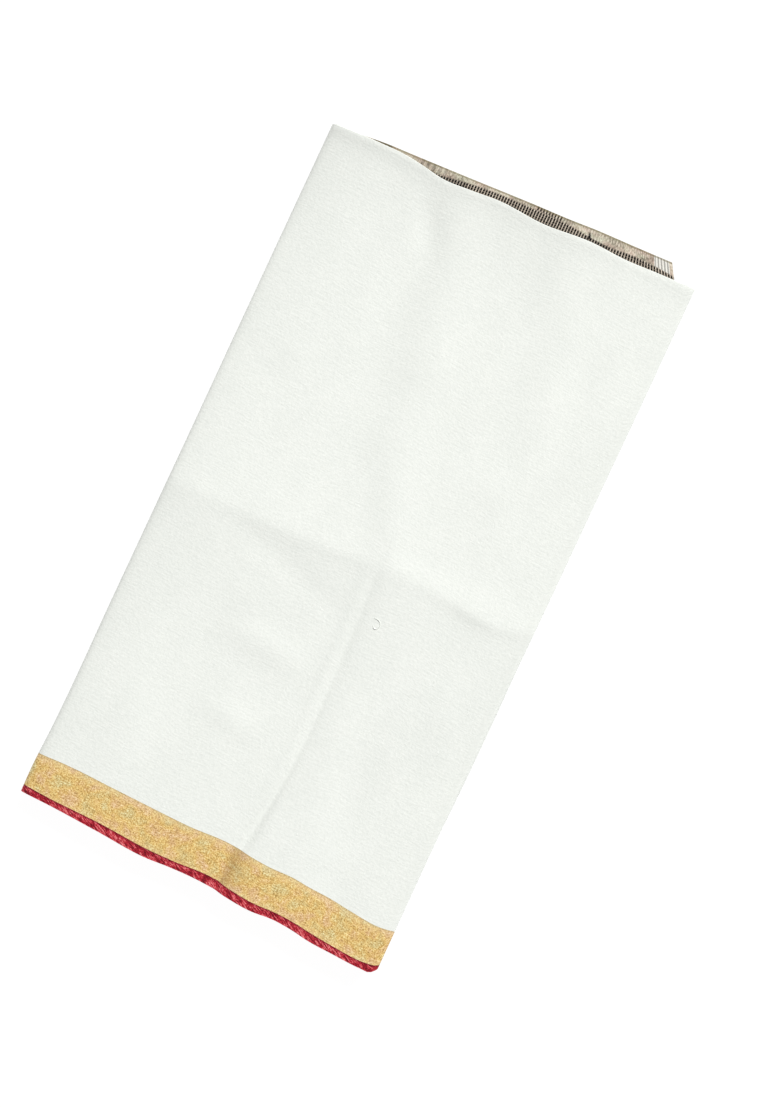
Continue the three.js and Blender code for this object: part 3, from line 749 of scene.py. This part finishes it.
# A pulled thread stands up from the top panel in a loop, open at one side.
SNAG = {
    "across": (36.0, 37.4, 39.6, 41.6, 43.0, 43.0, 41.8, 40.2, 38.6, 37.6),
    "along": (-46.4, -46.3, -46.4, -47.2, -49.0, -51.2, -53.4, -54.4, -53.2, -51.4),
    "lift": (-0.4, 0.1, 0.2, 0.1, 0.1, 0.1, 0.2, 0.3, 0.2, -0.4),
    "radius": 0.36,
}
add_thread(outer_body, SNAG, THICKNESS, settle)

# ---------- the hidden layers ----------
# The rest of the cloth lies folded inside the outer stretch and shows at the packet's ends. One length goes
# from the pallu end to the lower tuck, and the other from the upper tuck to the striped end.
HIDDEN_STEP = 12.0
SHORTFALL = 2.6
UNEVEN_WAVES = ({"size": 0.9, "up": 1.2, "across": 0.012}, {"size": 0.5, "up": 2.3, "across": -0.02})


def shortfall(x, z):
    """How far the hidden layers' ends stay behind the outer cloth's, unevenly from layer to layer."""
    waves = (wave["size"] * np.sin(z * wave["up"] + x * wave["across"]) for wave in UNEVEN_WAVES)
    return SHORTFALL + sum(waves)


def hidden_edge(x, z):
    """The hidden layers' selvedge."""
    return cloth_edge(x, z) + shortfall(x, z)


def hidden_red(x, z):
    """Where the hidden layers' red ends."""
    return red_end(x, z) + shortfall(x, z)


def hidden_fold(x, z):
    """The hidden layers' folded end."""
    return inner_fold(x, z) - shortfall(x, z)


hidden_shares = np.r_[0, 0.01, 0.025, np.linspace(0.05, 0.95, 42), 0.975, 0.99, 1]
under_crease = np.arange(3, 24, 2)
hidden_lines = {
    "pallu_side": course(PALLU_PANEL, SPINE_X, LOWER_STUB, TUCK_X - GAP, HIDDEN_STEP, under_crease),
    "striped_side": course(UPPER_STUB, TUCK_X - GAP, STRIPED_PANEL, SPINE_X, HIDDEN_STEP, under_crease),
}
hidden_layers = {
    side: cloth_shell(f"{side}_layers", line, hidden_red, hidden_fold, hidden_shares, cotton, round_end=True)
    for side, line in hidden_lines.items()
}
for side, line in hidden_lines.items():
    trim = cloth_shell(f"{side}_selvedge_layers", line, hidden_edge, hidden_red, selvedge_shares, twill)
    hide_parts("hidden_layers")
    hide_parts(f"{side}_selvedge")

# ---------- the patterned ends ----------
# Both ends of the saree are woven of beige wild silk: the pallu with a few weft stripes, and the other end
# ribbed black all over. They lie inside the upper book, a little askew, and stand out past its folded end.
PATTERNED_ENDS = {
    "across": (-153, -122, -108, -90, -64, -30, -10, 10, 50, 60, 83, 94, 116, 132, 153),
    "pallu": (
        283.0, 286.4, 287.6, 288.3, 289.4, 290.8, 291.9, 292.9,
        294.5, 295.3, 296.3, 296.6, 297.3, 297.8, 297.8,
    ),
    "striped": (
        279.0, 280.0, 280.5, 281.0, 282.6, 287.2, 288.8, 289.4,
        289.4, 288.4, 288.0, 289.3, 289.4, 288.2, 287.0,
    ),
}
pallu_edge = line_through(PATTERNED_ENDS, "pallu")
striped_edge = line_through(PATTERNED_ENDS, "striped")

FREE_END_SLANT, SLANT_Y, SLANT_BACK, SLANT_AHEAD = 0.6, 292, -7, 8
SLANT_FROM, SLANT_FULL = 70, 135
END_DROOP, DROOP_FROM, DROOP_FULL = 1.4, 280, 312


def droop(x, y, z):
    """As the packet settles, with what stands out past it hanging a little, and the free ends slanting."""
    x, y, z = settle(x, y, z)
    ahead = np.clip(y - SLANT_Y, SLANT_BACK, SLANT_AHEAD)
    slant = FREE_END_SLANT * ahead * rise(x, SLANT_FROM, SLANT_FULL)
    return x - slant, y, z - END_DROOP * rise(y, DROOP_FROM, DROOP_FULL)


def stripes(tree, distance, pitch, low, high, share=1.0):
    """Even stripes across a distance: the share in them and 0 between them, with soft sides from low to high
    of a sine."""
    turns = {0: distance, 1: 2 * math.pi / pitch}
    turn = add_node(tree, "ShaderNodeMath", turns, operation="MULTIPLY").outputs[0]
    wave = add_node(tree, "ShaderNodeMath", {0: turn}, operation="SINE").outputs[0]
    inputs = {"Value": wave, "From Min": low, "From Max": high, "To Max": share}
    return add_node(tree, "ShaderNodeMapRange", inputs).outputs[0]


# Wild silk, reeled by hand: uneven beige threads with olive and pinkish ones among them. A cream band
# crosses it, and near the spine, where it lies in a narrow gap, an olive band is painted shade and a black
# band is partly black threads and partly painted shade. Each runs from and to a distance from the spine.
# Painted shade darkens its folded end, where the cloth turns under. Its weft stripes lie as far apart, and
# are as dark, as their table says.
SILK_BANDS_AND_SHADE = {
    "start": (257.5, 37, 22),
    "stop": (269.5, 76, 37),
    "share": (0.85, 0.3, 0.85),
    "colour": ("#f1f0e8", "#6a6650", "#2a2925"),
}
WEFT_STRIPES = {
    "start": (60, 146, 158, 179, 201, 241, 258),
    "stop": (86, 157, 179, 188, 231, 257, 269),
    "pitch": (4.8, 2.5, 2.4, 2.4, 2.4, 1.7, 2.6),
    "dark": (0.35, 0.35, 1.0, 0.4, 0.22, 0.3, 0.55),
}
silk, tree, shader, threads = woven("beige_wild_silk", 0.85, 0.1)
grain = slubs(tree, threads, 1.1, 2.0, detail=3.0, seed=8.1)
cloudy = slubs(tree, threads, 9, 7, seed=2.9)
patches = slubs(tree, threads, 12, 8, seed=6.6)
tone = mixture(tree, (cloudy, 0.6), (grain, 1.0))
beige = tinted(tree, tone, 0.58, 1.02, (0, "#85807b"), (0.5, "#c6bfb7"), (1, "#eceae8"))
beige = cast_in_patches(tree, beige, patches, (0.35, "#f5f6e2"), (0.65, "#ffe9de"))
along_cloth = add_node(tree, "ShaderNodeSeparateXYZ", {0: threads}).outputs["X"]
# The cream band is woven in. The olive band is painted shade, and the black one is partly painted shade.
for start, stop, share, band in zip(*SILK_BANDS_AND_SHADE.values()):
    beige = layered(tree, beige, (between(tree, along_cloth, start, stop, share), band))
for start, stop, pitch, dark in zip(*WEFT_STRIPES.values()):
    dark_threads = stripes(tree, along_cloth, pitch, -0.5, 0.2, dark)
    beige = layered(tree, beige, (between(tree, along_cloth, start, stop, dark_threads), "#2c2420"))
# Painted shade along the folded end, where the cloth turns under.
painted_fold_shade = between(tree, from_far_end(tree), -1, 1.2, 0.6)
finish_cloth(tree, shader, layered(tree, beige, (painted_fold_shade, "#6e6444")))

# The other end has black ribs close together, with thin beige threads over them. The ribs are beaten closer
# in two stretches, each from and to a distance from the spine.
RIB_PITCH, THREAD_PITCH = 2.25, 2.0
CLOSE_RIBS = {"start": (81, 201), "stop": (101, 221), "dark": (0.3, 0.36)}
ribbed, tree, shader, threads = woven("black_ribbed_silk", 0.85, 0.05, gloss=0.1)
along_cloth = add_node(tree, "ShaderNodeSeparateXYZ", {0: threads}).outputs["X"]
grain = slubs(tree, threads, 1.0, 1.2, detail=3.0, seed=5.5)
paler = add_node(tree, "ShaderNodeMapRange", {"Value": grain, "From Min": 0.3, "From Max": 0.7})
striped = layered(
    tree, linear("#867a6d"),
    (paler.outputs[0], "#e8dbc9"),
    (stripes(tree, along_cloth, RIB_PITCH, -0.7, -0.3), "#0c0a0a"),
    (stripes(tree, from_far_end(tree), THREAD_PITCH, 0.5, 0.9, 0.4), "#a99b8b"),
)
for start, stop, dark in zip(*CLOSE_RIBS.values()):
    striped = layered(tree, striped, (between(tree, along_cloth, start, stop, dark), "#110f0e"))
finish_cloth(tree, shader, striped)

# A loose end of the black thread lies on the pallu.
LOOSE_END = {
    "across": (63.0, 62.7, 62.2, 61.5),
    "along": (287.0, 288.4, 289.9, 291.6),
    "lift": (0.3, 0.4, 0.3, 0.0),
    "radius": (0.85, 0.75, 0.55, 0.2),
}

PATTERNED_FROM, PATTERNED_STEP = 242.3, 4.0
patterned_shares = np.linspace(0, 1, 26)
for name, panel, edge, material, slot, deep in (
    ("pallu_end", PALLU_PANEL, pallu_edge, silk, "pallu_tussar", 0.051),
    ("striped_end", STRIPED_PANEL, striped_edge, ribbed, "striped_black", 0.046),
):
    piece = cloth_shell(
        f"{name}_cloth",
        course(panel, SPINE_X + GAP, panel, FREE_END_X, PATTERNED_STEP),
        lambda x, z: np.full_like(x, PATTERNED_FROM),
        lambda x, z: edge(x),
        patterned_shares, material, round_end=True, place=droop,
    )
    if panel == STRIPED_PANEL:
        add_thread(piece, LOOSE_END, height_of(panel), droop)
    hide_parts(name)
